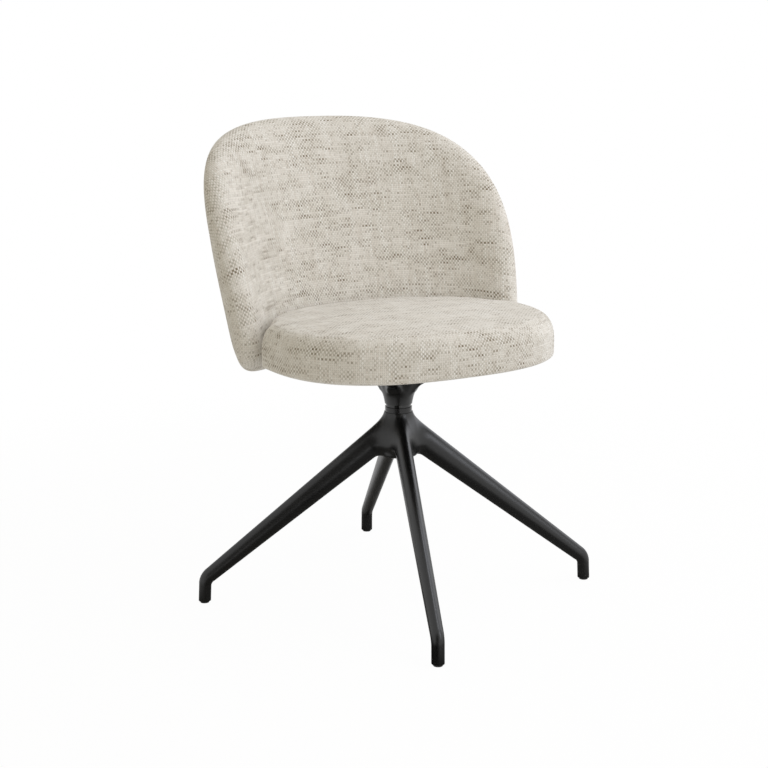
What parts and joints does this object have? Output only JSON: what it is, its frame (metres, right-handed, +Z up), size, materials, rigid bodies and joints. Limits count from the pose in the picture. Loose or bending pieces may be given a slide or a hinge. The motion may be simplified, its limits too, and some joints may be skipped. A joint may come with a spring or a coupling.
{
  "type": "swivel dining chair",
  "caption": "Upholstered swivel chair: round cushioned seat, wrap-round curved back and a cast black pedestal with splayed legs.",
  "frame": {"origin": "on the floor, on the axis that the seat turns about", "axes": "+Z up along the swivel axis; the sitter faces -Y; +X is to the sitter's left"},
  "size_m": [0.6402, 0.6415, 0.7894],
  "materials": {
    "black_enamel": "satin black powder coat over a casting",
    "glide_plastic": "moulded black glide",
    "bush_polymer": "oiled bearing polymer",
    "black_plastic": "semi-gloss black moulding",
    "bearing_steel": "ground and polished steel",
    "cage_brass": "pressed brass",
    "zinc_steel": "bright zinc plate",
    "strut_enamel": "black enamel on flat steel bar",
    "plywood": "bare birch plywood",
    "foam": "cut polyurethane foam",
    "slub_fabric": "plain weave in cream with grey-brown slubs",
    "lining_cloth": "thin black non-woven lining"
  },
  "bodies": {
    "base": {"four_leg_base": "black_enamel", "foot_glides": "glide_plastic", "hub_bush_lower": "bush_polymer", "hub_bush_upper": "bush_polymer", "hub_cap": "black_plastic", "trim_ring": "black_plastic", "bearing_race_lower": "bearing_steel"},
    "ball_cage": {"bearing_cage": "cage_brass", "bearing_balls": "bearing_steel"},
    "seat": {"bearing_collar": "bearing_steel", "swivel_spindle": "bearing_steel", "neck_spider": "black_enamel", "retaining_washer": "zinc_steel", "retaining_ring": "zinc_steel", "spider_bolts": "zinc_steel", "spider_washers": "zinc_steel", "spider_tee_nuts": "zinc_steel", "seat_board": "plywood", "seat_foam": "foam", "seat_cover": "slub_fabric", "dust_cover": "lining_cloth", "back_strut_left": "strut_enamel", "back_strut_right": "strut_enamel", "strut_seat_bolts": "zinc_steel", "strut_back_bolts": "zinc_steel", "strut_tee_nuts": "zinc_steel", "back_board": "plywood", "back_foam_front": "foam", "back_foam_rear": "foam", "back_cover_front": "slub_fabric", "back_cover_rear": "slub_fabric"}
  },
  "joints": [
    {"name": "swivel", "type": "hinge", "parent": "base", "child": "seat", "pos_m": [0, 0, 0.32], "axis": [0, 0, 1], "continuous": true},
    {"name": "cage_turn", "type": "hinge", "parent": "base", "child": "ball_cage", "pos_m": [0, 0, 0.32], "axis": [0, 0, 1], "continuous": true}
  ],
  "couplings": [
    {"joint": "cage_turn", "follows": "swivel", "ratio": 0.5}
  ]
}
